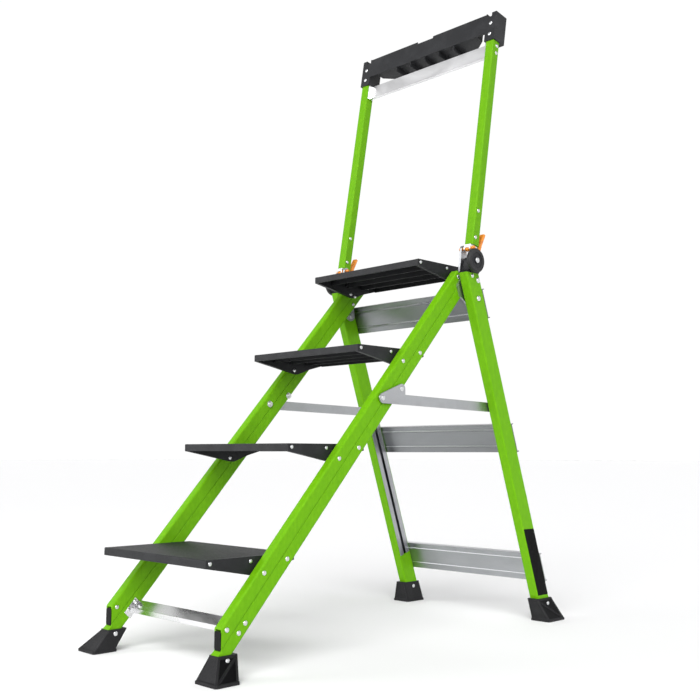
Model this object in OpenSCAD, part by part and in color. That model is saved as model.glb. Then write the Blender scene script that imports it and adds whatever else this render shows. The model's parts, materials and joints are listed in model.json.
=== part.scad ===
// Folding step ladder with four deep treads, a folding handrail and tip wheels.
// Millimetres, +Z up, feet on z = 0. X runs across the treads, +Y from the climber to the back.

/* [Overall] */
// Height from the floor to the first tread, and from each tread to the next
step_rise = 241.3; // [200:0.1:290]
// Clear width between the two front rails
inside_width = 394; // [320:1:480]
// Lean of the front rails from the vertical, in degrees
rail_lean = 42.5; // [40:0.5:45]
// Lean of the rear legs from the vertical, in degrees
leg_lean = 18.9; // [16:0.1:21]

/* [Front rails] */
// Depth of a front rail, square to its length
rail_depth = 59; // [50:1:72]
// Thickness of a front rail across the ladder
rail_thick = 25; // [21:0.5:32]
// Wall of the front rails, rear legs and handrail uprights
tube_wall = 3.5; // [2.5:0.1:5]
// Corner radius of the front rails
rail_corner = 5; // [3:0.5:8]
// Width of the groove along the middle of each rail face
groove_w = 2.4; // [1:0.2:4]
// Depth of that groove
groove_d = 0.9; // [0.4:0.1:1.4]

/* [Treads] */
// Depth of a tread from nose to back
tread_depth = 241; // [200:1:285]
// Overhang of the tread nose in front of the rails
tread_nose = 148; // [120:1:170]
// Height of the tread lips
lip_h = 17.5; // [14:0.5:22]
// Thickness of the tread plate and its lips
tread_skin = 3; // [2:0.5:4]
// Thickness of the moulded bracket at each end of a tread
bracket_t = 10; // [7:0.5:14]
// Depth of a bracket at its lowest point
bracket_h = 44; // [36:1:54]

/* [Rear frame] */
// Depth of a rear leg, square to its length
leg_depth = 50; // [46:1:60]
// Thickness of a rear leg across the ladder
leg_thick = 28.4; // [25:0.5:34]
// Gap between a front rail and the rear leg beside it
leg_gap = 9; // [8.5:0.5:12]
// Height of the hinge below the top tread
hinge_drop = 93; // [80:1:110]
// Distance of the hinge behind the front face of the rails
hinge_back = 81; // [72:1:95]
// Width of the cross channels behind the rear legs
channel_w = 81; // [60:1:95]

/* [Spreaders and tracks] */
// Length of rear leg left below the lowest point that the sliding pin reaches
track_gap = 182; // [165:1:240]
// Distance of the spreader pivot behind the front face of the rail
spreader_back = 52; // [46:1:56]
// Width of the spreader bar
bar_w = 25; // [21:0.5:30]
// Thickness of the spreader bar
bar_t = 3.5; // [3:0.1:4]
// Diameter of the pin that slides in the track
slide_pin_d = 7; // [5:0.5:9]
// Clearance of the sliding pin on each side of the slot
slide_play = 2; // [1.5:0.25:3]

/* [Handrail] */
// Side of a square handrail upright
upright_side = 28.4; // [24:0.2:32]
// Lean of the handrail behind the vertical, in degrees
upright_lean = 10; // [6:0.5:12]
// Length of an upright from its lower end to the head
upright_len = 611; // [500:1:720]
// Height of the handrail head
head_h = 87; // [70:1:105]
// Depth of the tray in the handrail head
tray_depth = 74; // [60:1:90]

/* [Wheels and fasteners] */
// Radius of a tip wheel
wheel_r = 32.5; // [26:0.5:34]
// Width of a tip wheel
wheel_w = 12.5; // [9:0.5:16]
// Diameter of the hinge and pivot bolts
bolt_d = 9.5; // [8:0.5:11]
// Diameter of a rivet shank
rivet_d = 4.8; // [4:0.2:6]
// Diameter of a rivet head
rivet_head_d = 11; // [9:0.5:13]

/* [Hidden] */

step_count = 4;
fit = 0.08;          // radial clearance of a pin or rivet in its hole
seat = 0.2;          // clearance of a plug or a tongue in its tube
gap = 0.5;           // clearance between bodies that move past each other
head_t = 2.2;        // height of a rivet head
bolt_head_t = 1.8;   // height of a low bolt head beside a rear leg

green = [0.46, 0.75, 0.06];
black = [0.13, 0.13, 0.14];
silver = [0.75, 0.76, 0.78];
orange = [0.85, 0.42, 0.08];

// Planes across the ladder, measured from its middle
rail_in = inside_width / 2;
rail_out = rail_in + rail_thick;
leg_in = rail_out + leg_gap;
leg_out = leg_in + leg_thick;
bar_x1 = leg_in - gap - bolt_head_t;
bar_x0 = bar_x1 - bar_t;
plate_t = 6;
plate_x1 = rail_out + plate_t;

// Points in the Y-Z plane. u runs up the rail from the floor, v square to it, to the back.
top_z = step_count * step_rise;
function on_line(u, v) = [u * sin(rail_lean) + v * cos(rail_lean),
                          u * cos(rail_lean) - v * sin(rail_lean)];
function rail_at(z, v) = [z * tan(rail_lean) + v / cos(rail_lean), z];
hinge = rail_at(top_z - hinge_drop, hinge_back);
hinge_u = hinge[0] * sin(rail_lean) + hinge[1] * cos(rail_lean);
leg_len = hinge[1] / cos(leg_lean);
spreader_drop = (leg_len - track_gap) / 2;   // along the rail, from the hinge down to the pivot
// w runs up the rear leg from the hinge, v square to it, to the back
function leg_at(w, v) = [hinge[0] - w * sin(leg_lean) + v * cos(leg_lean),
                         hinge[1] + w * cos(leg_lean) + v * sin(leg_lean)];

// The spreader pivot, and the slider pin as far from it as the hinge is. With those two equal,
// the pin keeps to the middle of the leg while the bar turns twice as fast as the leg.
pivot = on_line(hinge_u - spreader_drop, spreader_back);
pivot_w = (pivot[1] - hinge[1]) * cos(leg_lean) - (pivot[0] - hinge[0]) * sin(leg_lean);
slide_rest_w = 2 * pivot_w;
slide_end_w = -2 * spreader_drop;
slide_rest = leg_at(slide_rest_w, 0);
stud_drop = 64;      // the catch, along the rail below the spreader pivot
stud_back = 19.5;    // and behind the rail's front face
stud = on_line(hinge_u - spreader_drop - stud_drop, stud_back);

// Handrail pivot, tied to the hinge
rail_pin = [hinge[0] - 20.5, hinge[1] + 135.5];
upright_front = -4;                 // front face of an upright from the pin
upright_v0 = upright_front;
upright_v1 = upright_front + upright_side;
upright_w0 = 10;                    // lower end of an upright above the pin
head_w0 = upright_w0 + upright_len;
head_w1 = head_w0 + head_h;
upright_in = leg_in;
upright_out = leg_in + upright_side;

// Feet
boot_rim = 8;                       // upright rim of each rubber foot
front_boot = [51, 113];             // front foot on the floor, along Y
front_boot_top = [87, 137];
front_boot_h = 51;
front_boot_out = 45;                // how far the front foot flares past the rail
rail_cut_y = 98;                    // upright cut at the lower end of a rail
rail_cut_z = [59, 101];
rail_foot_y = 88;                   // front of the rail inside its foot
rail_foot_z = 30;
leg_foot_y = hinge[0] + hinge[1] * tan(leg_lean);
rear_boot = [leg_foot_y - 42, leg_foot_y + 36];
rear_boot_h = 61;
rear_boot_out = 31;
rear_boot_top = [leg_foot_y - 57, leg_foot_y + 13];
leg_foot_z = 12;
mid_y = (front_boot[0] + rear_boot[1]) / 2;

// Rivets that hold the brackets to the rails: height below the tread, distance behind the face
rail_rivet_at = [[-34, 13.5], [-9, 44]];
function rail_rivets_of(k) = k < step_count ? rail_rivet_at : [rail_rivet_at[0]];
// Rivets that hold a tread to its brackets: distance behind the rail face, height below the top
tread_rivet_at = [[-137, -8], [-30, -10], [62, -10]];
brace_u = [172, 198];               // the front brace, along the rail
brace_v = 51.5;                     // and behind the rail's front face
brace_t = 2.5;
brace_rivet_at = [[101, 13.5], [91, 43], [109.5, 43]];
plate_rivet_at = [rail_at(top_z - 40, 30.5), rail_at(top_z - 62, 47.5)];
front_bolt = [107, 41];
rear_bolt = leg_at(-(hinge[1] - 46.5) / cos(leg_lean), 2);
foot_bolt_out = 9;                  // how far a foot bolt reaches past its tube
wheel_c = leg_at(101, 6.5);
bracket_rivet_at = [leg_at(63.5, -4.4), leg_at(46.5, 15.4)];
axle_d = 8;
boss_x1 = leg_out + 5.4;
axle_x0 = leg_in + 11;
wheel_x0 = boss_x1 + gap;
leg_top_z = top_z - 26;
rail_top_z = top_z - 18;
track_t = 2;
track_w = leg_depth - 2 * tube_wall - 2 * seat;
track_in = 13;
slot_w = slide_pin_d + 2 * slide_play;
slot_top_w = slide_rest_w + 22;
slot_end_w = slide_end_w - 24;
channel_at = [-20, -20 - (leg_len - 163) / 2, 143 - leg_len];  // middle of each channel, along the leg
channel_t = 2.5;
channel_lip = 9;
label_z = [70, 254];                // the blank label, above the floor
ridge_at = 0.29;                    // ridges, as a share of the channel's width from its middle

$fn = 48;

// ---- helpers ----
// Whole-ladder placement: the origin is on the floor, midway between front and back
module placed() translate([0, -mid_y, 0]) children();
module side(s) mirror([s < 0 ? 1 : 0, 0, 0]) children();
module both_sides() for (s = [-1, 1]) side(s) children();
// A Y-Z outline given a thickness from x0 to x1
module slab(x0, x1) translate([x0, 0, 0]) rotate([90, 0, 90]) linear_extrude(x1 - x0) children();
module pin_x(at, x0, x1, r) translate([x0, at[0], at[1]]) rotate([0, 90, 0]) cylinder(h = x1 - x0, r = r);
module rounded(w, h, r) {
    square([w - 2 * r, h], center = true);
    square([w, h - 2 * r], center = true);
    for (x = [-1, 1], y = [-1, 1]) translate([x * (w / 2 - r), y * (h / 2 - r)]) circle(r);
}
module tube_section(w, h, r) difference() {
    rounded(w, h, r);
    rounded(w - 2 * tube_wall, h - 2 * tube_wall, max(1, r - tube_wall + 1));
}
module above(z, tall) translate([-1000, -1500, z]) cube([2000, 4500, tall]);
// Low domed head standing on z = 0
module dome_up(d, t) rotate_extrude()
    polygon(concat([[0, 0]], [for (a = [0:15:90]) [d / 2 * cos(a), t * sin(a)]]));
// The same head on a face at x0, pointing to +x or, for side_dome, to -x
module dome(at, x0, d, t) translate([x0, at[0], at[1]]) rotate([0, 90, 0]) dome_up(d, t);
module side_dome(at, x0, d) translate([x0, at[0], at[1]]) rotate([0, -90, 0]) dome_up(d, head_t);
// A rivet from x0 to the face at x1, with its head outside that face
module rivet(at, x0, x1) {
    pin_x(at, x0, x1, rivet_d / 2);
    dome(at, x1, rivet_head_d, head_t);
}
// A rivet along +y from the origin, with its head at the far end
module rivet_y(long) rotate([-90, 0, 0]) {
    cylinder(h = long, r = rivet_d / 2);
    translate([0, 0, long]) dome_up(rivet_head_d, head_t);
}
module hole_y(long) rotate([-90, 0, 0]) cylinder(h = long, r = rivet_d / 2 + fit);
module on_rail() rotate([-rail_lean, 0, 0]) children();
module on_leg() translate([0, hinge[0], hinge[1]]) rotate([leg_lean, 0, 0]) children();
module on_handrail() translate([0, rail_pin[0], rail_pin[1]]) rotate([-upright_lean, 0, 0]) children();
function handrail_at(w, v) = [rail_pin[0] + w * sin(upright_lean) + v * cos(upright_lean),
                              rail_pin[1] + w * cos(upright_lean) - v * sin(upright_lean)];
function step_z(k) = k * step_rise;
function step_y(k) = step_z(k) * tan(rail_lean);

// ---- front frame ----
module front_cut() polygon([[-500, rail_foot_z - 60], [-500, rail_cut_z[1] + 20],
    [rail_cut_y, rail_cut_z[1] + 20], [rail_cut_y, rail_cut_z[0]], [rail_foot_y, rail_cut_z[0] - 9],
    [rail_foot_y, rail_foot_z - 60]]);
module rail_body() difference() {
    intersection() {
        on_rail() translate([rail_in + rail_thick / 2, rail_depth / 2, -150])
            linear_extrude(rail_top_z / cos(rail_lean) + 400) rounded(rail_thick, rail_depth, rail_corner);
        above(rail_foot_z, rail_top_z - rail_foot_z);
    }
    // hollow, down to a solid end that the foot grips
    intersection() {
        on_rail() translate([rail_in + rail_thick / 2, rail_depth / 2, -150])
            linear_extrude(rail_top_z / cos(rail_lean) + 400)
                rounded(rail_thick - 2 * tube_wall, rail_depth - 2 * tube_wall, 2);
        above(rail_cut_z[0], rail_top_z);
    }
    on_rail() for (x = [rail_in, rail_out]) translate([x - groove_d, rail_depth / 2 - groove_w / 2, -150])
        cube([2 * groove_d, groove_w, rail_top_z / cos(rail_lean) + 400]);
    slab(rail_in - 1, rail_out + 1) front_cut();
    rail_holes();
}
module rail_holes() {
    for (k = [1:step_count], r = rail_rivets_of(k))
        pin_x(rail_at(step_z(k) + r[0], r[1]), rail_in - 1, rail_out + 1, rivet_d / 2 + fit);
    for (r = brace_rivet_at) pin_x(rail_at(r[0], r[1]), rail_in - 1, rail_out + 1, rivet_d / 2 + fit);
    for (p = plate_rivet_at) pin_x(p, rail_in - 1, rail_out + 1, rivet_d / 2 + fit);
    pin_x(front_bolt, rail_in - 1, rail_out + 1, rivet_d / 2 + fit);
    for (p = [pivot, stud]) pin_x(p, rail_in - 1, rail_out + 1, bolt_d / 2 + fit);
}
module front_rail_left() color(green) placed() side(-1) rail_body();
module front_rail_right() color(green) placed() rail_body();

module rail_end_plugs() color(black) placed() both_sides() {
    plug_h = rail_cut_z[1] - rail_cut_z[0] - 3;
    translate([rail_in + rail_thick / 2, rail_cut_y, rail_cut_z[0] + 1 + plug_h / 2]) rotate([90, 0, 0])
        linear_extrude(1.6) rounded(rail_thick - 4, plug_h, 5);
    translate([rail_in + rail_thick / 2, rail_cut_y + 8, rail_cut_z[0] + 1 + plug_h / 2]) rotate([90, 0, 0])
        linear_extrude(8) rounded(rail_thick - 2 * tube_wall - 2 * seat, plug_h - 14, 3);
}
module rail_top_caps() color(black) placed() both_sides() {
    y0 = rail_top_z * tan(rail_lean);
    long = rail_depth / cos(rail_lean);
    slab(rail_in + 1, rail_out - 1) polygon([[y0 + 3, rail_top_z], [y0 + long - 3, rail_top_z],
        [y0 + long - 3, rail_top_z + 2.4], [y0 + 5, rail_top_z + 2.4]]);
    intersection() {
        on_rail() translate([rail_in + rail_thick / 2, rail_depth / 2, 0])
            linear_extrude(rail_top_z / cos(rail_lean) + 200)
                rounded(rail_thick - 2 * tube_wall - 2 * seat, rail_depth - 2 * tube_wall - 2 * seat, 2);
        above(rail_top_z - 8, 8);
    }
}
// A rubber foot: a wide sole that narrows to a collar round the tube
module boot(x, y, top_x, top_y, h) hull() {
    for (a = [0, 1], b = [0, 1]) {
        translate([x[a] + (a ? -4 : 4), y[b] + (b ? -4 : 4), 0]) cylinder(h = boot_rim, r = 4);
        translate([top_x[a] + (a ? -3 : 3), top_y[b] + (b ? -3 : 3), h - 3]) cylinder(h = 3, r = 3);
    }
}
module front_foot() difference() {
    boot([rail_in - 3, rail_out + front_boot_out], front_boot, [rail_in - 4, rail_out + 5],
         front_boot_top, front_boot_h);
    intersection() {
        on_rail() translate([rail_in - seat, -seat, -150])
            cube([rail_thick + 2 * seat, rail_depth + 2 * seat, 400]);
        translate([0, rail_foot_y - seat, rail_foot_z - seat]) cube([500, 300, 200]);
    }
    pin_x(front_bolt, rail_in - 30, rail_out + 60, rivet_d / 2 + fit);
    pin_x(front_bolt, rail_out + foot_bolt_out, rail_out + 60, rivet_head_d / 2 + 0.6);
    pin_x(front_bolt, rail_in - 30, rail_in - 3.5, rivet_head_d / 2 + 0.6);
}
module front_foot_left() color(black) placed() side(-1) front_foot();
module front_foot_right() color(black) placed() front_foot();
module front_foot_bolts() color(silver) placed() both_sides() {
    pin_x(front_bolt, rail_in - 3.5, rail_out + foot_bolt_out, rivet_d / 2);
    dome(front_bolt, rail_out + foot_bolt_out, rivet_head_d, 2.4);
    side_dome(front_bolt, rail_in - 3.5, rivet_head_d);
}

module tread(k) {
    y0 = step_y(k) - tread_nose;
    z1 = step_z(k);
    half = rail_in - bracket_t;
    rib_n = 3;
    rib_t = 3;
    slab(-half, half) {
        difference() {
            union() {
                translate([y0 + 3, z1 - lip_h]) square([tread_depth - 3, lip_h]);
                translate([y0, z1 - lip_h]) square([6, lip_h - 3]);
                translate([y0 + 3, z1 - 3]) circle(3);
            }
            translate([y0 + tread_skin, z1 - lip_h - 1])
                square([tread_depth - 2 * tread_skin, lip_h - tread_skin + 1]);
        }
        for (i = [1:rib_n]) translate([y0 + i * tread_depth / (rib_n + 1) - rib_t / 2, z1 - lip_h])
            square([rib_t, lip_h - tread_skin + 0.5]);
    }
}
module tread_node(k) color(black) placed() difference() {
    tread(k);
    // the side lips are drilled where the bracket rivets pass
    both_sides() for (r = [tread_rivet_at[0]])
        pin_x([step_y(k) + r[0], step_z(k) + r[1]], rail_in - bracket_t - 5, rail_in, rivet_d / 2 + fit);
}
module tread_1() tread_node(1);
module tread_2() tread_node(2);
module tread_3() tread_node(3);
module tread_4() tread_node(4);

// A moulded bracket: level along the tread, deepest where it bolts to the rail
module bracket_outline(k) {
    y = step_y(k);
    z = step_z(k);
    translate([y, z]) polygon([[-tread_nose, -1.5], [-tread_nose + 1.5, 0], [tread_depth - tread_nose, 0],
        [tread_depth - tread_nose, -lip_h + 2], [46, -28], [2, -bracket_h], [-8, -bracket_h],
        [-86, -lip_h - 11.5], [-tread_nose, -lip_h]]);
}
module step_bracket(k) difference() {
    slab(rail_in - bracket_t, rail_in) bracket_outline(k);
    for (r = rail_rivets_of(k))
        pin_x(rail_at(step_z(k) + r[0], r[1]), rail_in - 20, rail_in + 1, rivet_d / 2 + fit);
    if (k == step_count) pin_x(plate_rivet_at[0], rail_in - 20, rail_in + 1, rivet_d / 2 + fit);
    for (r = tread_rivet_at)
        pin_x([step_y(k) + r[0], step_z(k) + r[1]], rail_in - 20, rail_in + 1, rivet_d / 2 + fit);
}
module step_brackets_left() color(black) placed() side(-1) for (k = [1:step_count]) step_bracket(k);
module step_brackets_right() color(black) placed() for (k = [1:step_count]) step_bracket(k);

// Rivets through bracket and tread end, heads outside on the bracket
module tread_rivets() color(silver) placed() both_sides() for (k = [1:step_count], r = tread_rivet_at) {
    at = [step_y(k) + r[0], step_z(k) + r[1]];
    pin_x(at, rail_in - bracket_t, rail_in, rivet_d / 2);
    if (r[0] < -20) dome(at, rail_in, 9, 1.6);
}
module rail_rivets() color(silver) placed() both_sides() for (k = [1:step_count], r = rail_rivets_of(k)) {
    at = rail_at(step_z(k) + r[0], r[1]);
    rivet(at, rail_in - bracket_t, rail_out);
    side_dome(at, rail_in - bracket_t, rivet_head_d - 1);
}

// Bent aluminium strip between the rails, with a tab at each end
module front_brace() color(silver) placed() difference() {
    union() {
        on_rail() {
            translate([-rail_in, brace_v, brace_u[0]]) cube([2 * rail_in, brace_t, brace_u[1] - brace_u[0]]);
            translate([-rail_in, brace_v, brace_u[1] - brace_t]) cube([2 * rail_in, 14, brace_t]);
            translate([-rail_in, brace_v, brace_u[0]]) cube([2 * rail_in, 9, brace_t]);
        }
        lip = on_line(brace_u[0], brace_v);
        translate([-rail_in, lip[0], lip[1] - 9]) cube([2 * rail_in, brace_t, 11]);
        both_sides() slab(rail_in - 3, rail_in) translate(rail_at(brace_rivet_at[1][0], 43))
            rotate(-rail_lean) translate([-6, -12]) square([rail_depth - 37, 44]);
    }
    both_sides() for (r = brace_rivet_at)
        pin_x(rail_at(r[0], r[1]), rail_in - 10, rail_in + 1, rivet_d / 2 + fit);
}
module front_brace_rivets() color(silver) placed() both_sides() for (r = brace_rivet_at) {
    at = rail_at(r[0], r[1]);
    inner = r[1] > 20 ? rail_in - 3 : rail_in;
    rivet(at, inner, rail_out);
    side_dome(at, inner, rivet_head_d - 1);
}

// Aluminium plate on the rail's outer face: it carries the rear hinge and the handrail pin
module hinge_plate() difference() {
    slab(rail_out, plate_x1) {
        hull() {
            translate(hinge) circle(14.5);
            translate(hinge + [-29, 12]) circle(10);
            translate(hinge + [-37, 33]) circle(10);
            translate(hinge + [-17, 66]) circle(6);
            translate(hinge + [-4, 60]) circle(8);
        }
        hull() {
            translate(rail_pin) circle(9.5);
            translate(hinge + [-32, 74]) circle(7);
            translate(hinge + [-2, 42]) circle(11);
        }
    }
    pin_x(hinge, rail_out - 1, plate_x1 + 1, bolt_d / 2 + fit);
    pin_x(rail_pin, rail_out - 1, plate_x1 + 1, axle_d / 2 + fit);
    for (p = plate_rivet_at) pin_x(p, rail_out - 1, plate_x1 + 1, rivet_d / 2 + fit);
}
module hinge_plate_left() color(silver) placed() side(-1) hinge_plate();
module hinge_plate_right() color(silver) placed() hinge_plate();
module hinge_plate_rivets() color(silver) placed() both_sides() for (i = [0, 1]) {
    inner = i == 0 ? rail_in - bracket_t : rail_in;
    pin_x(plate_rivet_at[i], inner, plate_x1, rivet_d / 2);
    dome(plate_rivet_at[i], plate_x1, rivet_head_d, head_t);
    side_dome(plate_rivet_at[i], inner, rivet_head_d - 1);
}
// Hinge bolt: head inside the plate, shank through plate, washer and leg, nut outside the leg
module hinge_bolts() color(silver) placed() both_sides() {
    pin_x(hinge, rail_out - 4, leg_out + 1, bolt_d / 2);
    pin_x(hinge, rail_out - 4, rail_out, bolt_d / 2 + 3.5);
    dome(hinge, leg_out + gap, 15, 3.2);
}
module hinge_washers() color(black) placed() both_sides() difference() {
    pin_x(hinge, plate_x1, leg_in - gap / 2, 12);
    pin_x(hinge, plate_x1 - 1, leg_in + 1, bolt_d / 2 + fit);
}
// Washer and nut on the inner face of the rail
module inner_nut(at) {
    pin_x(at, rail_in - 1.5, rail_in, 8.5);
    translate([rail_in - 5.5, at[0], at[1]]) rotate([0, 90, 0]) cylinder(h = 4.5, r = 7, $fn = 6);
}
module spreader_bolts() color(silver) placed() both_sides() {
    pin_x(pivot, rail_in - 6.5, bar_x1, bolt_d / 2);
    pin_x(pivot, rail_out, bar_x0 - 0.15, 8.5);
    dome(pivot, bar_x1, 12.5, bolt_head_t);
    inner_nut(pivot);
}
// Each bolt holds a collar on the rail, which the bar's catch stud closes against
module catch_bolts() color(silver) placed() both_sides() {
    pin_x(stud, rail_in - 6.5, rail_out + 1, bolt_d / 2);
    pin_x(stud, rail_out, bar_x0 - 0.3, 8.5);
    inner_nut(stud);
}

// ---- rear frame ----
module leg_body() difference() {
    intersection() {
        on_leg() translate([leg_in + leg_thick / 2, 0, -1100]) linear_extrude(1400)
            tube_section(leg_thick, leg_depth, 4);
        above(leg_foot_z, leg_top_z - leg_foot_z);
    }
    // window in the inner wall that the track sits in
    on_leg() translate([leg_in - 1, -track_w / 2 - seat, slot_end_w - seat])
        cube([tube_wall + 2, track_w + 2 * seat, slot_top_w - slot_end_w + 2 * seat]);
    pin_x(hinge, leg_in - 1, leg_out + 1, bolt_d / 2 + fit);
    pin_x(rear_bolt, leg_in - 1, leg_out + 1, rivet_d / 2 + fit);
    for (p = bracket_rivet_at) pin_x(p, leg_in - 1, leg_out + 1, rivet_d / 2 + fit);
    on_leg() channel_holes(leg_depth / 2 - 8, leg_depth / 2 + 5);
}
module channel_holes(v0, v1) for (c = channel_at, d = [-1, 1])
    translate([leg_in + leg_thick / 2, v0, c + d * channel_w / 4]) hole_y(v1 - v0);
module rear_leg_left() color(green) placed() side(-1) leg_body();
module rear_leg_right() color(green) placed() leg_body();
module rear_foot() difference() {
    boot([leg_in - 2.5, leg_out + rear_boot_out], rear_boot, [leg_in - 2, leg_out + 5],
         rear_boot_top, rear_boot_h);
    intersection() {
        on_leg() translate([leg_in - seat, -leg_depth / 2 - seat, -1200])
            cube([leg_thick + 2 * seat, leg_depth + 2 * seat, 1400]);
        above(leg_foot_z - seat, 200);
    }
    pin_x(rear_bolt, leg_in - 30, leg_out + 60, rivet_d / 2 + fit);
    pin_x(rear_bolt, leg_out + foot_bolt_out, leg_out + 60, rivet_head_d / 2 + 0.6);
    pin_x(rear_bolt, leg_in - 30, leg_in - 1.5, rivet_head_d / 2 + 0.6);
}
module rear_foot_left() color(black) placed() side(-1) rear_foot();
module rear_foot_right() color(black) placed() rear_foot();
module rear_foot_bolts() color(silver) placed() both_sides() {
    pin_x(rear_bolt, leg_in - 1.5, leg_out + foot_bolt_out, rivet_d / 2);
    dome(rear_bolt, leg_out + foot_bolt_out, rivet_head_d, 2.4);
    side_dome(rear_bolt, leg_in - 1.5, rivet_head_d);
}
// Aluminium channel across the backs of the legs, with two pressed ridges
module channel(c) difference() {
    on_leg() translate([-leg_out + 1, leg_depth / 2, c - channel_w / 2]) {
        long = 2 * leg_out - 2;
        cube([long, channel_t, channel_w]);
        for (z = [0, channel_w - channel_t]) translate([0, 0, z]) cube([long, channel_lip, channel_t]);
        for (d = [-1, 1]) translate([leg_thick, 0, channel_w * (0.5 + d * ridge_at)])
            rotate([0, 90, 0]) cylinder(h = long - 2 * leg_thick, r = 2.6);
    }
    both_sides() on_leg() channel_holes(leg_depth / 2 - 1, leg_depth / 2 + 5);
}
module rear_brace_top() color(silver) placed() channel(channel_at[0]);
module rear_brace_middle() color(silver) placed() channel(channel_at[1]);
module rear_brace_bottom() color(silver) placed() channel(channel_at[2]);
module rear_brace_rivets() color(silver) placed() both_sides() on_leg() for (c = channel_at, d = [-1, 1])
    translate([leg_in + leg_thick / 2, leg_depth / 2 - tube_wall, c + d * channel_w / 4])
        rivet_y(tube_wall + channel_t);
// Slotted aluminium channel set flush in the leg; the spreader's pin rides in it
module track() on_leg() translate([leg_in, 0, slot_end_w]) difference() {
    long = slot_top_w - slot_end_w;
    translate([0, -track_w / 2, 0]) cube([track_in, track_w, long]);
    translate([track_t, -track_w / 2 + track_t, -1])
        cube([track_in - 2 * track_t, track_w - 2 * track_t, long + 2]);
    translate([-1, -slot_w / 2, -1]) cube([track_t + 2, slot_w, long + 2]);
}
module slide_track_left() color(silver) placed() side(-1) track();
module slide_track_right() color(silver) placed() track();

// Moulded plug in the top of the leg, shaped up to carry the wheel
module wheel_bracket() difference() {
    union() {
        intersection() {
            on_leg() translate([leg_in + leg_thick / 2, 0, 0]) linear_extrude(200)
                rounded(leg_thick - 2 * tube_wall - 2 * seat, leg_depth - 2 * tube_wall - 2 * seat, 2);
            translate([0, 0, leg_top_z - 42]) above(0, 42);
        }
        slab(leg_in + 0.4, leg_out - 0.4) polygon([leg_rim(-1), leg_rim(-1) + [13, 9.5],
            rail_pin + [-4, -36], rail_pin + [3, -24], rail_pin + [16, -24], leg_rim(1) + [6, 8],
            leg_rim(1)]);
        // the outer half reaches forward round the axle
        slab(axle_x0, leg_out - 0.4) hull() {
            translate(wheel_c) circle(12);
            translate(leg_rim(-1) + [10, 0]) square([30, 2]);
        }
        pin_x(wheel_c, leg_out - 1, boss_x1, 10);
    }
    pin_x(wheel_c, axle_x0 - 0.01, boss_x1 + 1, axle_d / 2 + fit);
    for (p = bracket_rivet_at) pin_x(p, leg_in - 1, leg_out + 1, rivet_d / 2 + fit);
}
// Front (-1) or back (1) corner of the leg's top end
function leg_rim(s) = [hinge[0] - (leg_top_z - hinge[1]) * tan(leg_lean) + s * leg_depth / 2 / cos(leg_lean)
                       - s, leg_top_z];
module wheel_bracket_left() color(black) placed() side(-1) wheel_bracket();
module wheel_bracket_right() color(black) placed() wheel_bracket();
module wheel_bracket_rivets() color(silver) placed() both_sides() {
    rivet(bracket_rivet_at[0], leg_in, leg_out);
    pin_x(bracket_rivet_at[1], leg_in, leg_out, rivet_d / 2);
    dome(bracket_rivet_at[1], leg_out, rivet_head_d + 4, head_t + 1);
}
module wheel_axles() color(silver) placed() both_sides() {
    pin_x(wheel_c, axle_x0, wheel_x0 + wheel_w + gap, axle_d / 2);
    dome(wheel_c, wheel_x0 + wheel_w + gap, 15, 3);
}
module leg_label() color(black) placed() intersection() {
    on_leg() translate([leg_out, -leg_depth / 2 + 3, -1100]) cube([0.4, leg_depth - 6, 1400]);
    above(label_z[0], label_z[1] - label_z[0]);
}

// ---- wheels ----
hub_r = 21;
module wheel_tyre() translate([wheel_x0, wheel_c[0], wheel_c[1]]) rotate([0, 90, 0]) rotate_extrude()
    polygon([[hub_r, 0.8], [wheel_r - 2.5, 0], [wheel_r, 2.5], [wheel_r, wheel_w - 2.5],
             [wheel_r - 2.5, wheel_w], [hub_r, wheel_w - 0.8]]);
module wheel_hub() translate([wheel_x0, wheel_c[0], wheel_c[1]]) rotate([0, 90, 0]) rotate_extrude()
    polygon([[axle_d / 2 + fit, 0], [9, 0], [9, 2.5], [hub_r - 0.05, 2.5], [hub_r - 0.05, wheel_w - 1.8],
             [10, wheel_w - 1.8], [10, wheel_w], [axle_d / 2 + fit, wheel_w]]);
module wheel_tyre_left() color(black) placed() side(-1) wheel_tyre();
module wheel_hub_left() color(black) placed() side(-1) wheel_hub();
module wheel_tyre_right() color(black) placed() wheel_tyre();
module wheel_hub_right() color(black) placed() wheel_hub();

// ---- spreaders ----
module spreader_bar() difference() {
    slab(bar_x0, bar_x1) {
        hull() {
            translate(stud) circle(bar_w / 2);
            translate(slide_rest) circle(bar_w / 2);
        }
        hull() {
            translate(stud) circle(bar_w / 2);
            translate(pivot) circle(bar_w / 2);
            translate(pivot + [0, -20]) circle(bar_w / 2);
        }
    }
    pin_x(pivot, bar_x0 - 1, bar_x1 + 1, bolt_d / 2 + fit);
    pin_x(slide_rest, bar_x0 - 1, bar_x1 + 1, slide_pin_d / 2 + fit);
    pin_x(stud, bar_x0 - 1, bar_x1 + 1, slide_pin_d / 2 + fit);
}
module spreader_left() color(silver) placed() side(-1) spreader_bar();
module spreader_right() color(silver) placed() spreader_bar();
// The pin through the bar's end, with a disc that runs inside the track, and the catch stud
module spreader_pins() {
    pin_x(slide_rest, bar_x0, leg_in + track_t + 1.5, slide_pin_d / 2);
    pin_x(slide_rest, leg_in + track_t + 1, leg_in + track_t + 4.5, slot_w / 2 + 5);
    side_dome(slide_rest, bar_x0, 12);
    pin_x(stud, bar_x0, bar_x1, slide_pin_d / 2);
    dome(stud, bar_x1, 12.5, bolt_head_t);
}
module spreader_pins_left() color(silver) placed() side(-1) spreader_pins();
module spreader_pins_right() color(silver) placed() spreader_pins();

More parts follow.
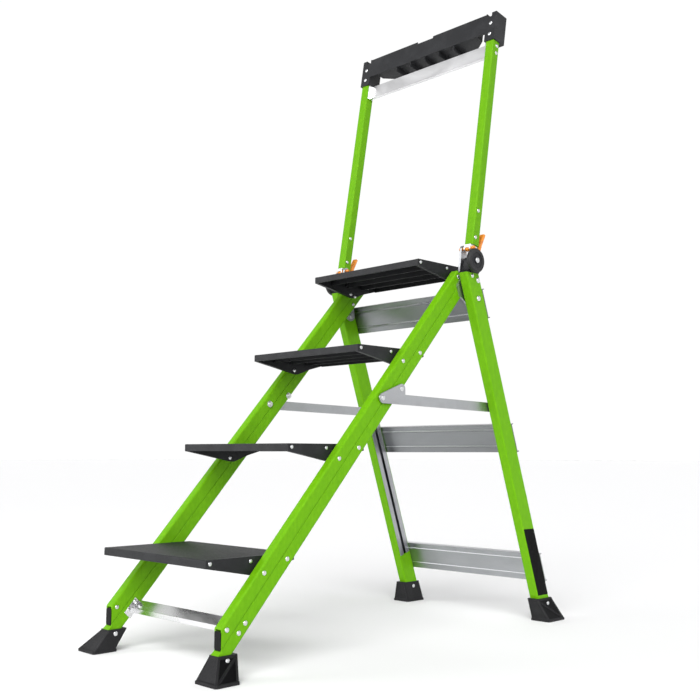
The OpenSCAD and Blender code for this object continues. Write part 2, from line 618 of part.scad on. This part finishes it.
// ---- handrail ----
upright_rivet_at = [[31.3, 5.5], [107.7, 6.5]];   // through the side faces
upright_back_w = [43, 78];                        // through the back face
head_rivet_w = [20, 54];
brace_w0 = head_w0 - 45;
brace_rivet_w = [10, 32];
upright_mid = upright_in + upright_side / 2;
module upright_body() difference() {
    on_handrail() {
        difference() {
            translate([upright_mid, (upright_v0 + upright_v1) / 2, upright_w0])
                linear_extrude(upright_len + head_h - 14) tube_section(upright_side, upright_side, 4);
            for (w = upright_back_w) translate([upright_mid, upright_v1 - 8, w]) hole_y(10);
            for (w = head_rivet_w) translate([upright_mid, upright_v0 - 2, head_w0 + w]) hole_y(8);
        }
    }
    for (r = upright_rivet_at)
        pin_x(handrail_at(r[0], r[1]), upright_in - 1, upright_out + 1, rivet_d / 2 + fit);
    for (w = brace_rivet_w)
        pin_x(handrail_at(brace_w0 + w, 14), upright_in - 1, upright_out + 1, rivet_d / 2 + fit);
}
module upright_left() color(green) placed() side(-1) upright_body();
module upright_right() color(green) placed() upright_body();

// Aluminium channel inside the upright; below it two cheeks hang on the handrail pin
cheek = upright_side / 2 - tube_wall - seat;
cheek_r = upright_w0 - 0.6;
tongue_v = [upright_v0 + tube_wall + seat, upright_v1 - tube_wall - seat];
module tongue() difference() {
    on_handrail() translate([upright_mid, 0, 0]) {
        difference() {
            translate([0, (tongue_v[0] + tongue_v[1]) / 2, 2])
                linear_extrude(112) rounded(2 * cheek, tongue_v[1] - tongue_v[0], 2);
            translate([-cheek + 3, tongue_v[0] - 3, 1]) cube([2 * cheek - 6, tongue_v[1] - tongue_v[0], 120]);
            translate([-50, tongue_v[1] - 6, -1]) cube([100, 8, upright_w0 + 1]);
            for (w = upright_back_w) translate([0, tongue_v[1] - 5, w]) hole_y(10);
        }
        for (s = [0, 1]) translate([s ? cheek - 3 : -cheek, 0, 0]) rotate([90, 0, 90]) linear_extrude(3) {
            circle(cheek_r);
            polygon([[-cheek_r, 0], [tongue_v[1], 0], [tongue_v[1], upright_w0 - 0.6],
                [-cheek_r + 2, upright_w0 - 0.6]]);
        }
        translate([-cheek, -cheek_r, 0]) cube([2 * cheek, 1.8, upright_w0 - 1.5]);
    }
    pin_x(rail_pin, upright_in - 1, upright_out + 1, axle_d / 2 + fit);
    for (r = upright_rivet_at)
        pin_x(handrail_at(r[0], r[1]), upright_in - 1, upright_out + 1, rivet_d / 2 + fit);
}
module tongue_left() color(silver) placed() side(-1) tongue();
module tongue_right() color(silver) placed() tongue();

// Head: two sockets over the uprights, joined by a front beam with an open tray behind it
head_wall = 3;
head_front = upright_v0 - head_wall - seat;
beam_w0 = head_w0 + 26;
tray_half = rail_in;
tray_rib = 14;
tray_back_half = rail_in - 60;
module head_socket() difference() {
    translate([upright_in - head_wall - seat, head_front, head_w0])
        cube([upright_side + 2 * head_wall + 2 * seat, 48, head_h]);
    translate([upright_in - seat, upright_v0 - seat, head_w0 - 1])
        cube([upright_side + 2 * seat, upright_side + 2 * seat, head_h - 12]);
    translate([upright_in - 1, head_front - 1, head_w1 - 11]) cube([17, 60, 20]);
}
module head_tray_plan(inset) {
    half = tray_half - inset;
    back_half = tray_back_half - inset;
    v0 = head_front + inset;
    v1 = head_front + tray_depth - inset;
    polygon([[-half, v0], [half, v0], [half, head_front + 30], [back_half, v1],
        [-back_half, v1], [-half, head_front + 30]]);
}
module handrail_head() color(black) placed() difference() {
    on_handrail() {
        both_sides() head_socket();
        difference() {
            translate([0, 0, beam_w0]) linear_extrude(head_w1 - 2 - beam_w0) head_tray_plan(0);
            translate([0, 0, beam_w0 + head_wall]) linear_extrude(head_h) head_tray_plan(head_wall);
            // shallow dip in the middle of the front edge
            translate([-34, head_front - 1, head_w1 - 8]) cube([62, 20, 10]);
        }
        // the front beam runs on to the sockets
        both_sides() translate([tray_half - 1, head_front, beam_w0])
            cube([upright_in - head_wall - tray_half + 1, head_wall + 2, head_w1 - 2 - beam_w0]);
        // ribs under the tray
        for (x = [-2:2]) translate([x * 56 - 1.5, head_front + 2, beam_w0 - tray_rib])
            cube([3, tray_depth - 16, tray_rib]);
    }
    both_sides() on_handrail() for (w = head_rivet_w)
        translate([upright_mid, head_front - 1, head_w0 + w]) hole_y(9);
}
// Bent aluminium strip between the uprights, under the head
module handrail_brace() color(silver) placed() difference() {
    on_handrail() {
        translate([-upright_in, 12, brace_w0]) cube([2 * upright_in, 2.5, 45]);
        translate([-upright_in, 12, brace_w0 + 42.5]) cube([2 * upright_in, 13, 2.5]);
        translate([-upright_in, 6, brace_w0]) cube([2 * upright_in, 8, 2.5]);
        both_sides() translate([upright_in - 3, upright_v0 + 3, brace_w0]) cube([3, upright_side - 6, 45]);
    }
    both_sides() for (w = brace_rivet_w)
        pin_x(handrail_at(brace_w0 + w, 14), upright_in - 3, upright_in + 1, rivet_d / 2 + fit);
}
module handrail_rivets() color(silver) placed() both_sides() {
    for (r = upright_rivet_at) {
        at = handrail_at(r[0], r[1]);
        rivet(at, upright_in, upright_out);
        side_dome(at, upright_in, rivet_head_d - 1);
    }
    for (w = brace_rivet_w) rivet(handrail_at(brace_w0 + w, 14), upright_in - 3, upright_out);
    on_handrail() {
        for (w = upright_back_w) translate([upright_mid, tongue_v[1] - 3, w])
            rivet_y(upright_v1 - tongue_v[1] + 3);
        for (w = head_rivet_w) translate([upright_mid, upright_v0 + tube_wall, head_w0 + w])
            mirror([0, 1, 0]) rivet_y(tube_wall + seat + head_wall);
    }
}

// ---- lock levers ----
lever_half = cheek - 3 - 0.4;
module lock_lever() difference() {
    slab(upright_mid - lever_half, upright_mid + lever_half)
        translate(rail_pin) {
            circle(7);
            polygon([[0, -7], [33, -5], [42, -1], [48, 14], [64, 44], [58, 47], [40, 18], [35, 3], [4, 7]]);
        }
    pin_x(rail_pin, upright_in, upright_out, axle_d / 2 + fit);
}
module lock_lever_left() color(orange) placed() side(-1) lock_lever();
module lock_lever_right() color(orange) placed() lock_lever();
// Pin with a ball at each end; the handrail turns on it
ball_r = 5.2;
ball_x = [rail_out - 4, upright_out + 1.5];
ball_turn = acos(axle_d / 2 / ball_r);   // where the shank meets each ball
module lever_pin() translate([0, rail_pin[0], rail_pin[1]]) rotate([0, 90, 0]) rotate_extrude()
    polygon([for (end = [0, 1], i = [0:8])
        let (a = end * (90 - ball_turn) - 90 + i * (ball_turn / 8 + 90 / 8))
        [ball_r * cos(a), ball_x[end] + ball_r * sin(a)]]);
module lever_pin_left() color(orange) placed() side(-1) lever_pin();
module lever_pin_right() color(orange) placed() lever_pin();

front_rail_left();
front_rail_right();
rail_end_plugs();
rail_top_caps();
front_foot_left();
front_foot_right();
front_foot_bolts();
tread_1();
tread_2();
tread_3();
tread_4();
step_brackets_left();
step_brackets_right();
tread_rivets();
rail_rivets();
front_brace();
front_brace_rivets();
hinge_plate_left();
hinge_plate_right();
hinge_plate_rivets();
hinge_bolts();
hinge_washers();
spreader_bolts();
catch_bolts();
rear_leg_left();
rear_leg_right();
rear_foot_left();
rear_foot_right();
rear_foot_bolts();
rear_brace_top();
rear_brace_middle();
rear_brace_bottom();
rear_brace_rivets();
slide_track_left();
slide_track_right();
wheel_bracket_left();
wheel_bracket_right();
wheel_bracket_rivets();
wheel_axles();
leg_label();
wheel_tyre_left();
wheel_hub_left();
wheel_tyre_right();
wheel_hub_right();
spreader_left();
spreader_right();
spreader_pins_left();
spreader_pins_right();
upright_left();
upright_right();
tongue_left();
tongue_right();
handrail_head();
handrail_brace();
handrail_rivets();
lock_lever_left();
lock_lever_right();
lever_pin_left();
lever_pin_right();
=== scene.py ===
"""Looks for the folding step ladder: materials, moulded details, light and camera.

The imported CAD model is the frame. Lengths are in metres, +Z up, +Y from the climber to the back.
"""
import json
import math
import bmesh
import bpy
from mathutils import Matrix, Vector


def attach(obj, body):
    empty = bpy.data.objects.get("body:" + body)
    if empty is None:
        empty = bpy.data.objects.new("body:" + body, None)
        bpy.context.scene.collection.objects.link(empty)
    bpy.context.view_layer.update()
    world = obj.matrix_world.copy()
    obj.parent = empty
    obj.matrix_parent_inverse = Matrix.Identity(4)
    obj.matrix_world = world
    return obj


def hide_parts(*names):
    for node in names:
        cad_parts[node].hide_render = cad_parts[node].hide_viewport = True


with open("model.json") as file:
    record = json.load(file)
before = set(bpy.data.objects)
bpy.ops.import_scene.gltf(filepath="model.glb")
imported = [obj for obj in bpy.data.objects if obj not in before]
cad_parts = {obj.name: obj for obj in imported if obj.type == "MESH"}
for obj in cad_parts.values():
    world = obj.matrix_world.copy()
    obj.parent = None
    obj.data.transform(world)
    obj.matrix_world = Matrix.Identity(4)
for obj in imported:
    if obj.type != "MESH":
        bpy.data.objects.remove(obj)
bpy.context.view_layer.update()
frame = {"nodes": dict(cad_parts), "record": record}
MM = 0.001

# Leans from the vertical, in radians: + leans back
RAIL_LEAN = math.radians(42.5)
LEG_LEAN = math.radians(-18.9)
UPRIGHT_LEAN = math.radians(10)


# ---------------------------------------------------------------- camera, light and floor
def make_camera():
    """A camera low in front of the ladder's right side, looking slightly up."""
    place = (1.8453, -1.79395, 0.4601)
    azimuth = math.radians(45.24)
    tilt = math.radians(6.06)
    roll = math.radians(0.10)
    level = math.cos(tilt)
    forward = Vector((-math.sin(azimuth) * level, math.cos(azimuth) * level, math.sin(tilt)))
    data = bpy.data.cameras.new("camera")
    data.sensor_width = 36
    data.lens = 50.11
    data.clip_end = 200
    camera = bpy.data.objects.new("camera", data)
    bpy.context.scene.collection.objects.link(camera)
    turn = forward.to_track_quat("-Z", "Y").to_matrix() @ Matrix.Rotation(roll, 3, "Z")
    camera.matrix_world = Matrix.Translation(place) @ turn.to_4x4()
    bpy.context.scene.camera = camera


def lamp(kind, name, place, power, size):
    """A lamp aimed at the middle of the ladder; size is a width, or an angle for a sun."""
    middle = Vector((0, 0, 0.7))
    data = bpy.data.lights.new(name, kind)
    data.energy = power
    if kind == "SUN":
        data.angle = size
    else:
        data.size = size
    light = bpy.data.objects.new(name, data)
    bpy.context.scene.collection.objects.link(light)
    turn = (middle - Vector(place)).to_track_quat("-Z", "Y").to_matrix()
    light.matrix_world = Matrix.Translation(place) @ turn.to_4x4()


def make_sky():
    """White near the horizon and dimmer overhead, so that the faces of the tubes differ."""
    world = bpy.data.worlds.new("studio")
    world.use_nodes = True
    tree = world.node_tree
    direction = tree.nodes.new("ShaderNodeSeparateXYZ")
    coordinates = tree.nodes.new("ShaderNodeTexCoord")
    tree.links.new(coordinates.outputs["Generated"], direction.inputs["Vector"])
    ramp = tree.nodes.new("ShaderNodeValToRGB")
    tree.links.new(direction.outputs["Z"], ramp.inputs["Fac"])
    horizon, overhead = ramp.color_ramp.elements
    horizon.position = 0.48
    horizon.color = (1, 1, 1, 1)
    overhead.position = 0.70
    overhead.color = (0.16, 0.16, 0.17, 1)
    background = tree.nodes["Background"]
    tree.links.new(ramp.outputs["Color"], background.inputs["Color"])
    background.inputs["Strength"].default_value = 1.02
    return world


def make_floor():
    """A pale floor far wider than the view, with a faint grain."""
    half_width = 60
    bm = bmesh.new()
    bmesh.ops.create_grid(bm, x_segments=1, y_segments=1, size=half_width)
    mesh = bpy.data.meshes.new("floor")
    bm.to_mesh(mesh)
    bm.free()
    floor = bpy.data.objects.new("floor", mesh)
    bpy.context.scene.collection.objects.link(floor)
    paint = Paint("floor", (0.93, 0.93, 0.93), 0.8)
    paint.bump(paint.noise(90, 2), 0.02, 1.0 * MM)
    floor.data.materials.append(paint.material)


def make_studio():
    """Plain soft light: the sky, a broad sun from the front right and a lamp from the front left."""
    bpy.context.scene.view_settings.view_transform = "Standard"
    bpy.context.scene.world = make_sky()
    lamp("SUN", "key", place=(1.9, -2.6, 2.9), power=3.4, size=math.radians(50))
    lamp("AREA", "front", place=(-2.2, -3.2, 1.8), power=45, size=1.5)
    make_floor()


# ---------------------------------------------------------------- materials
class Paint:
    """A Principled material with short calls for the nodes that its detail is made of."""

    def __init__(self, name, colour, roughness, metallic=0.0, edge=0.0):
        """edge is the radius that sharp edges are shaded with."""
        self.material = bpy.data.materials.new(name)
        self.material.use_nodes = True
        self.tree = self.material.node_tree
        self.shader = self.tree.nodes["Principled BSDF"]
        self.shader.inputs["Base Color"].default_value = (*colour, 1)
        self.shader.inputs["Roughness"].default_value = roughness
        self.shader.inputs["Metallic"].default_value = metallic
        self.place = self.node("ShaderNodeTexCoord").outputs["Object"]
        self.normal = None
        if edge:
            self.normal = self.node("ShaderNodeBevel", Radius=edge).outputs["Normal"]
            self.tree.links.new(self.normal, self.shader.inputs["Normal"])

    def feed(self, socket, value):
        """Gives an input another node's output, a colour or a number."""
        if isinstance(value, bpy.types.NodeSocket):
            self.tree.links.new(value, socket)
        elif socket.type == "RGBA":
            socket.default_value = (*value, 1)
        else:
            socket.default_value = value

    def node(self, kind, **values):
        """A new node; each value goes to the input of that name."""
        made = self.tree.nodes.new(kind)
        for name, value in values.items():
            self.feed(made.inputs[name.replace("_", " ")], value)
        return made

    def along(self, lean, stretch):
        """Object coordinates turned so that Z runs along a leaning tube, then stretched."""
        made = self.node("ShaderNodeMapping", Vector=self.place)
        made.inputs["Rotation"].default_value = (lean, 0, 0)
        made.inputs["Scale"].default_value = stretch
        return made.outputs["Vector"]

    def noise(self, scale, detail, at=None, roughness=0.5, distortion=0.0):
        """Cloudy noise between 0 and 1, with scale cells to a metre."""
        made = self.node("ShaderNodeTexNoise", Vector=at or self.place, Scale=scale, Detail=detail,
                         Roughness=roughness, Distortion=distortion)
        return made.outputs["Fac"]

    def ramp(self, value, *stops):
        """A colour ramp: each stop is (place, grey or colour)."""
        made = self.node("ShaderNodeValToRGB", Fac=value)
        elements = made.color_ramp.elements
        while len(elements) < len(stops):
            elements.new(0.5)
        for element, (place, colour) in zip(elements, stops):
            element.position = place
            element.color = (colour,) * 3 + (1,) if isinstance(colour, (int, float)) else (*colour, 1)
        return made.outputs["Color"]

    def calculate(self, operation, a, b):
        """The result of a Math node."""
        made = self.tree.nodes.new("ShaderNodeMath")
        made.operation = operation
        self.feed(made.inputs[0], a)
        self.feed(made.inputs[1], b)
        return made.outputs["Value"]

    def mix(self, factor, a, b):
        """Colour a where factor is 0 and colour b where it is 1."""
        made = self.tree.nodes.new("ShaderNodeMix")
        made.data_type = "RGBA"
        # a Mix node keeps its colour inputs and output behind those for numbers and vectors
        for index, value in ((0, factor), (6, a), (7, b)):
            self.feed(made.inputs[index], value)
        return made.outputs[2]

    def colour(self, socket):
        self.tree.links.new(socket, self.shader.inputs["Base Color"])

    def roughness(self, socket):
        self.tree.links.new(socket, self.shader.inputs["Roughness"])

    def specular(self, level):
        self.shader.inputs["Specular IOR Level"].default_value = level

    def bump(self, height, strength, distance, invert=False):
        """Adds relief on top of the relief that the material has so far."""
        made = self.node("ShaderNodeBump", Height=height, Strength=strength, Distance=distance)
        made.invert = invert
        if self.normal is not None:
            self.tree.links.new(self.normal, made.inputs["Normal"])
        self.normal = made.outputs["Normal"]
        self.tree.links.new(self.normal, self.shader.inputs["Normal"])


def fibreglass(name, lean, tone):
    """Pultruded lime green: cloudy along the tube, with faint fibres under a satin skin."""
    def green(red, level, blue):
        return (red * tone, level * tone, blue * tone)

    body = green(0.120, 0.345, 0.002)
    paint = Paint(name, body, 0.5, edge=1.2 * MM)
    cloud = paint.noise(130, 4, paint.along(lean, (1, 1, 0.45)), 0.6, 0.4)
    fibre = paint.noise(900, 3, paint.along(lean, (1, 1, 0.02)), 0.6)
    clouds = paint.ramp(cloud, (0.28, green(0.106, 0.32, 0.001)), (0.50, body),
                        (0.76, green(0.150, 0.39, 0.005)))
    fibres = paint.ramp(fibre, (0.35, green(0.085, 0.27, 0.001)), (0.65, green(0.165, 0.42, 0.006)))
    paint.colour(paint.mix(0.18, clouds, fibres))
    paint.roughness(paint.ramp(cloud, (0.3, 0.42), (0.7, 0.60)))
    paint.specular(0.12)
    paint.bump(fibre, 0.10, 0.2 * MM)
    paint.bump(paint.noise(14, 4), 0.08, 1.0 * MM)
    return paint.material


def add_grip(paint):
    """Small raised studs on the faces that look straight up."""
    facing = paint.node("ShaderNodeNewGeometry").outputs["True Normal"]
    upward = paint.node("ShaderNodeSeparateXYZ", Vector=facing).outputs["Z"]
    top = paint.calculate("GREATER_THAN", upward, 0.98)
    studs = paint.node("ShaderNodeTexVoronoi", Vector=paint.place, Scale=190, Randomness=0.25)
    paint.bump(paint.calculate("MULTIPLY", studs.outputs["Distance"], top), 0.5, 0.9 * MM, invert=True)


def moulded(name, colour, rough, grain, depth, shine=0.25, grip=False):
    """Moulded black plastic or rubber: fine spark grain, a little dust and rubbed patches."""
    paint = Paint(name, colour, rough, edge=0.9 * MM)
    paint.specular(shine)
    patch = paint.noise(22, 5, roughness=0.6)
    dust = paint.noise(260, 3)
    rubbed = tuple(c * 1.9 + 0.003 for c in colour)
    paint.colour(paint.mix(paint.ramp(patch, (0.45, 0.0), (0.75, 0.6)), colour, rubbed))
    paint.roughness(paint.ramp(dust, (0.3, rough - 0.07), (0.7, rough + 0.09)))
    paint.bump(paint.noise(grain, 3), 0.35, depth)
    if grip:
        add_grip(paint)
    return paint.material


def brushed(name, lean, colour, rough, painted_highlight=False):
    """Mill-finish aluminium: drawn lines across the ladder, faint smears and scuffs.

    When asked, faces that look up get a painted highlight: a near-white colour on the tops of ridges and
    lips."""
    paint = Paint(name, colour, rough, 1.0, edge=0.6 * MM)
    drawn = paint.noise(700, 4, paint.along(lean, (0.015, 1, 1)), 0.6)
    smear = paint.noise(12, 5, paint.along(lean, (0.4, 1, 1)), 0.6, 0.6)
    dark = tuple(c * 0.80 for c in colour)
    shade = paint.mix(paint.ramp(smear, (0.35, 0.0), (0.7, 1.0)), dark, colour)
    shade = paint.mix(paint.ramp(drawn, (0.35, 0.0), (0.65, 0.25)), shade, dark)
    if painted_highlight:
        # painted highlight: the colour turns near white where the normal points up
        facing = paint.node("ShaderNodeNewGeometry").outputs["Normal"]
        upward = paint.node("ShaderNodeSeparateXYZ", Vector=facing).outputs["Z"]
        shade = paint.mix(paint.ramp(upward, (0.34, 0.0), (0.50, 1.0)), shade, (0.93, 0.93, 0.94))
    paint.colour(shade)
    paint.roughness(paint.ramp(smear, (0.3, rough - 0.06), (0.7, rough + 0.12)))
    paint.bump(drawn, 0.12, 0.1 * MM)
    return paint.material


def zinc():
    """Zinc-plated steel, slightly spotted."""
    paint = Paint("zinc_steel", (0.72, 0.73, 0.74), 0.28, 1.0, edge=0.4 * MM)
    spots = paint.noise(500, 4)
    paint.colour(paint.ramp(spots, (0.3, (0.60, 0.61, 0.62)), (0.7, (0.80, 0.81, 0.82))))
    paint.roughness(paint.ramp(paint.noise(160, 3), (0.3, 0.22), (0.7, 0.40)))
    paint.bump(spots, 0.1, 0.1 * MM)
    return paint.material


def orange():
    """Orange moulded plastic, a little cloudy, with a fine grain."""
    paint = Paint("orange_plastic", (0.75, 0.22, 0.01), 0.35, edge=0.8 * MM)
    cloud = paint.noise(90, 4)
    paint.colour(paint.ramp(cloud, (0.3, (0.55, 0.15, 0.01)), (0.7, (0.85, 0.30, 0.02))))
    paint.roughness(paint.ramp(cloud, (0.3, 0.28), (0.7, 0.45)))
    paint.bump(paint.noise(1500, 2), 0.15, 0.1 * MM)
    return paint.material


def label_film():
    """Black film with nothing printed on it, scuffed along the leg."""
    black_film = (0.002, 0.002, 0.0022)
    paint = Paint("label_film", black_film, 0.5)
    paint.specular(0.05)
    scuff = paint.noise(60, 5, paint.along(LEG_LEAN, (1, 1, 0.2)), 0.65)
    paint.colour(paint.ramp(scuff, (0.4, black_film), (0.8, (0.007, 0.007, 0.0075))))
    paint.roughness(paint.ramp(scuff, (0.3, 0.22), (0.7, 0.42)))
    return paint.material


def slot_finishes():
    """The finish of each of the record's material slots."""
    return {
        "green_fibreglass": fibreglass("green_front", RAIL_LEAN, 1.0),
        "black_plastic": moulded("black_plastic", (0.0105, 0.011, 0.0125), 0.48, 1400, 0.10 * MM),
        "tread_plastic": moulded("tread_plastic", (0.014, 0.0145, 0.016), 0.55, 900, 0.18 * MM, grip=True),
        "black_rubber": moulded("black_rubber", (0.009, 0.009, 0.010), 0.6, 700, 0.15 * MM),
        "wheel_rubber": moulded("wheel_rubber", (0.018, 0.018, 0.019), 0.5, 800, 0.12 * MM),
        # the rear aluminium has a painted highlight on the faces that look up
        "aluminium": brushed("aluminium_rear", LEG_LEAN, (0.46, 0.47, 0.49), 0.34, painted_highlight=True),
        "steel": zinc(),
        "orange_plastic": orange(),
        "label_film": label_film(),
    }


def own_finishes():
    """The finishes of the nodes that look different from the rest of their slot."""
    plug = moulded("plug_plastic", (0.002, 0.002, 0.0022), 0.5, 1400, 0.10 * MM, shine=0.15)
    head = moulded("head_plastic", (0.015, 0.0155, 0.017), 0.48, 1400, 0.12 * MM)
    rail_metal = brushed("aluminium_front", RAIL_LEAN, (0.50, 0.51, 0.53), 0.36)
    brace_metal = brushed("aluminium_front_brace", RAIL_LEAN, (0.92, 0.92, 0.93), 0.22)
    # the darker rear aluminium also has a painted highlight on the faces that look up
    dull_metal = brushed("aluminium_rear_dull", LEG_LEAN, (0.30, 0.31, 0.32), 0.34, painted_highlight=True)
    handrail_metal = brushed("aluminium_handrail", UPRIGHT_LEAN, (0.95, 0.95, 0.96), 0.35)
    own = {
        "rail_end_plugs": plug,
        "handrail_head": head,
        "front_brace": brace_metal,
        "rear_brace_top": dull_metal,
        "rear_brace_middle": dull_metal,
        "handrail_brace": handrail_metal,
    }
    paired = {
        "hinge_plate_": rail_metal,
        "spreader_": rail_metal,
        "tongue_": handrail_metal,
        "rear_leg_": fibreglass("green_rear", LEG_LEAN, 1.0),
        "upright_": fibreglass("green_handrail", UPRIGHT_LEAN, 0.88),
    }
    for start, material in paired.items():
        own[start + "left"] = material
        own[start + "right"] = material
    return own


def finish_nodes(finishes):
    """Gives every CAD node a finish of its own, or else its slot's."""
    own = own_finishes()
    for part in frame["record"]["subparts"]:
        name = part["node"]
        materials = frame["nodes"][name].data.materials
        materials.clear()
        materials.append(own.get(name, finishes[part["material_slot"]]))


# ---------------------------------------------------------------- rubber feet
# Sizes of every foot, in millimetres
SOLE_EDGE = 5.5        # height of the sole's upright edge
SOLE_STEP = 1.3        # how far the walls stand in from the sole, and rise above its edge
SOLE_CORNER = 3.5      # how far the sole's corners are cut back
COLLAR_BAND = 2        # height of the upright band at the collar's top
COLLAR_CORNER = 2.5    # how far the collar's corners are cut back
RIM = 3.2              # width of the raised edge round a panel
WEB_DEPTH = 3.2        # how deep the webbed outer panel is sunk
PANEL_DEPTH = 1.6      # how deep the front and back panels are sunk
SLOPE = 2              # which outline the sloping walls stand on, counting the lowest as 0

# Level outlines x0, x1, y0, y1 of the right-hand feet, in millimetres, as in the CAD model
FEET = {
    "front": {"sole": (194, 267, -596.35, -534.35), "collar": (193, 227, -560.35, -510.35), "height": 51},
    "rear": {"sole": (228.5, 290.4, 518.4, 596.35), "collar": (229, 264.4, 503.4, 573.35), "height": 61},
}


def chamfered(x0, x1, y0, y1, z, cut):
    """The corners of a level outline, each cut back into two points, in order round it."""
    return [Vector(p) * MM for p in (
        (x0 + cut, y0, z), (x1 - cut, y0, z), (x1, y0 + cut, z), (x1, y1 - cut, z),
        (x1 - cut, y1, z), (x0 + cut, y1, z), (x0, y1 - cut, z), (x0, y0 + cut, z))]


def foot_loops(sole, collar, height):
    """The foot's level outlines from the floor up: the sole, a small step, then the collar."""
    x0, x1, y0, y1 = sole
    step = SOLE_STEP
    return [
        chamfered(*sole, 0, SOLE_CORNER),
        chamfered(*sole, SOLE_EDGE, SOLE_CORNER),
        chamfered(x0 + step, x1 - step, y0 + step, y1 - step, SOLE_EDGE + step, SOLE_CORNER),
        chamfered(*collar, height - COLLAR_BAND, COLLAR_CORNER),
        chamfered(*collar, height, COLLAR_CORNER),
    ]


def skin(bm, rows):
    """Closes the outlines into a solid; returns the sloping faces: front, outer, back and inner."""
    panels = []
    for k in range(len(rows) - 1):
        for i in range(len(rows[k])):
            j = (i + 1) % len(rows[k])
            face = bm.faces.new((rows[k][i], rows[k][j], rows[k + 1][j], rows[k + 1][i]))
            # every other face is a narrow one across a cut corner
            if k == SLOPE and i % 2 == 0:
                panels.append(face)
    bm.faces.new(rows[0][::-1])
    bm.faces.new(rows[-1])
    bmesh.ops.recalc_face_normals(bm, faces=bm.faces)
    return panels


def sink(bm, faces, depth):
    """Sinks faces inside a raised edge."""
    bmesh.ops.inset_individual(bm, faces=faces, thickness=RIM * MM, depth=-depth * MM, use_even_offset=True)


def sink_webbed(bm, panel, rows, end_of_ladder):
    """Sinks a panel on both sides of a diagonal web that rises towards the ladder's middle."""
    low = [v for v in panel.verts if v in rows[SLOPE]]
    high = [v for v in panel.verts if v in rows[SLOPE + 1]]
    first, last = (min, max) if end_of_ladder == "front" else (max, min)
    start = first(low, key=lambda v: v.co.y)
    end = last(high, key=lambda v: v.co.y)
    bmesh.utils.face_split(panel, start, end)
    halves = [f for f in bm.faces if start in f.verts and end in f.verts]
    sink(bm, halves, WEB_DEPTH)
    for face in halves:
        face.material_index = 1


def make_foot(end_of_ladder, side, side_name, materials):
    """A rubber foot with a thin sole and sunk panels, in place of the plain CAD foot."""
    node = end_of_ladder + "_foot_" + side_name
    body = end_of_ladder + "_frame"
    bm = bmesh.new()
    loops = foot_loops(**FEET[end_of_ladder])
    rows = [[bm.verts.new((side * p.x, p.y, p.z)) for p in loop] for loop in loops]
    # the inner face stays plain: its wall is too thin beside the tube for a sunk panel
    front, outer, back = skin(bm, rows)[:3]
    sink_webbed(bm, outer, rows, end_of_ladder)
    sink(bm, [front, back], PANEL_DEPTH)
    mesh = bpy.data.meshes.new(node + "_moulding")
    bm.to_mesh(mesh)
    bm.free()
    for material in materials:
        mesh.materials.append(material)
    made = bpy.data.objects.new(node + "_moulding", mesh)
    bpy.context.scene.collection.objects.link(made)
    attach(made, body)
    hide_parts(node)


def make_feet(rubber):
    """The four feet; their webbed panels are darker than the rest of the rubber."""
    panel = moulded("black_rubber_panel", (0.0015, 0.0015, 0.002), 0.5, 700, 0.10 * MM, shine=0.12)
    for side, side_name in ((-1, "left"), (1, "right")):
        for end_of_ladder in FEET:
            make_foot(end_of_ladder, side, side_name, (rubber, panel))


make_camera()
make_studio()
finishes = slot_finishes()
finish_nodes(finishes)
make_feet(finishes["black_rubber"])
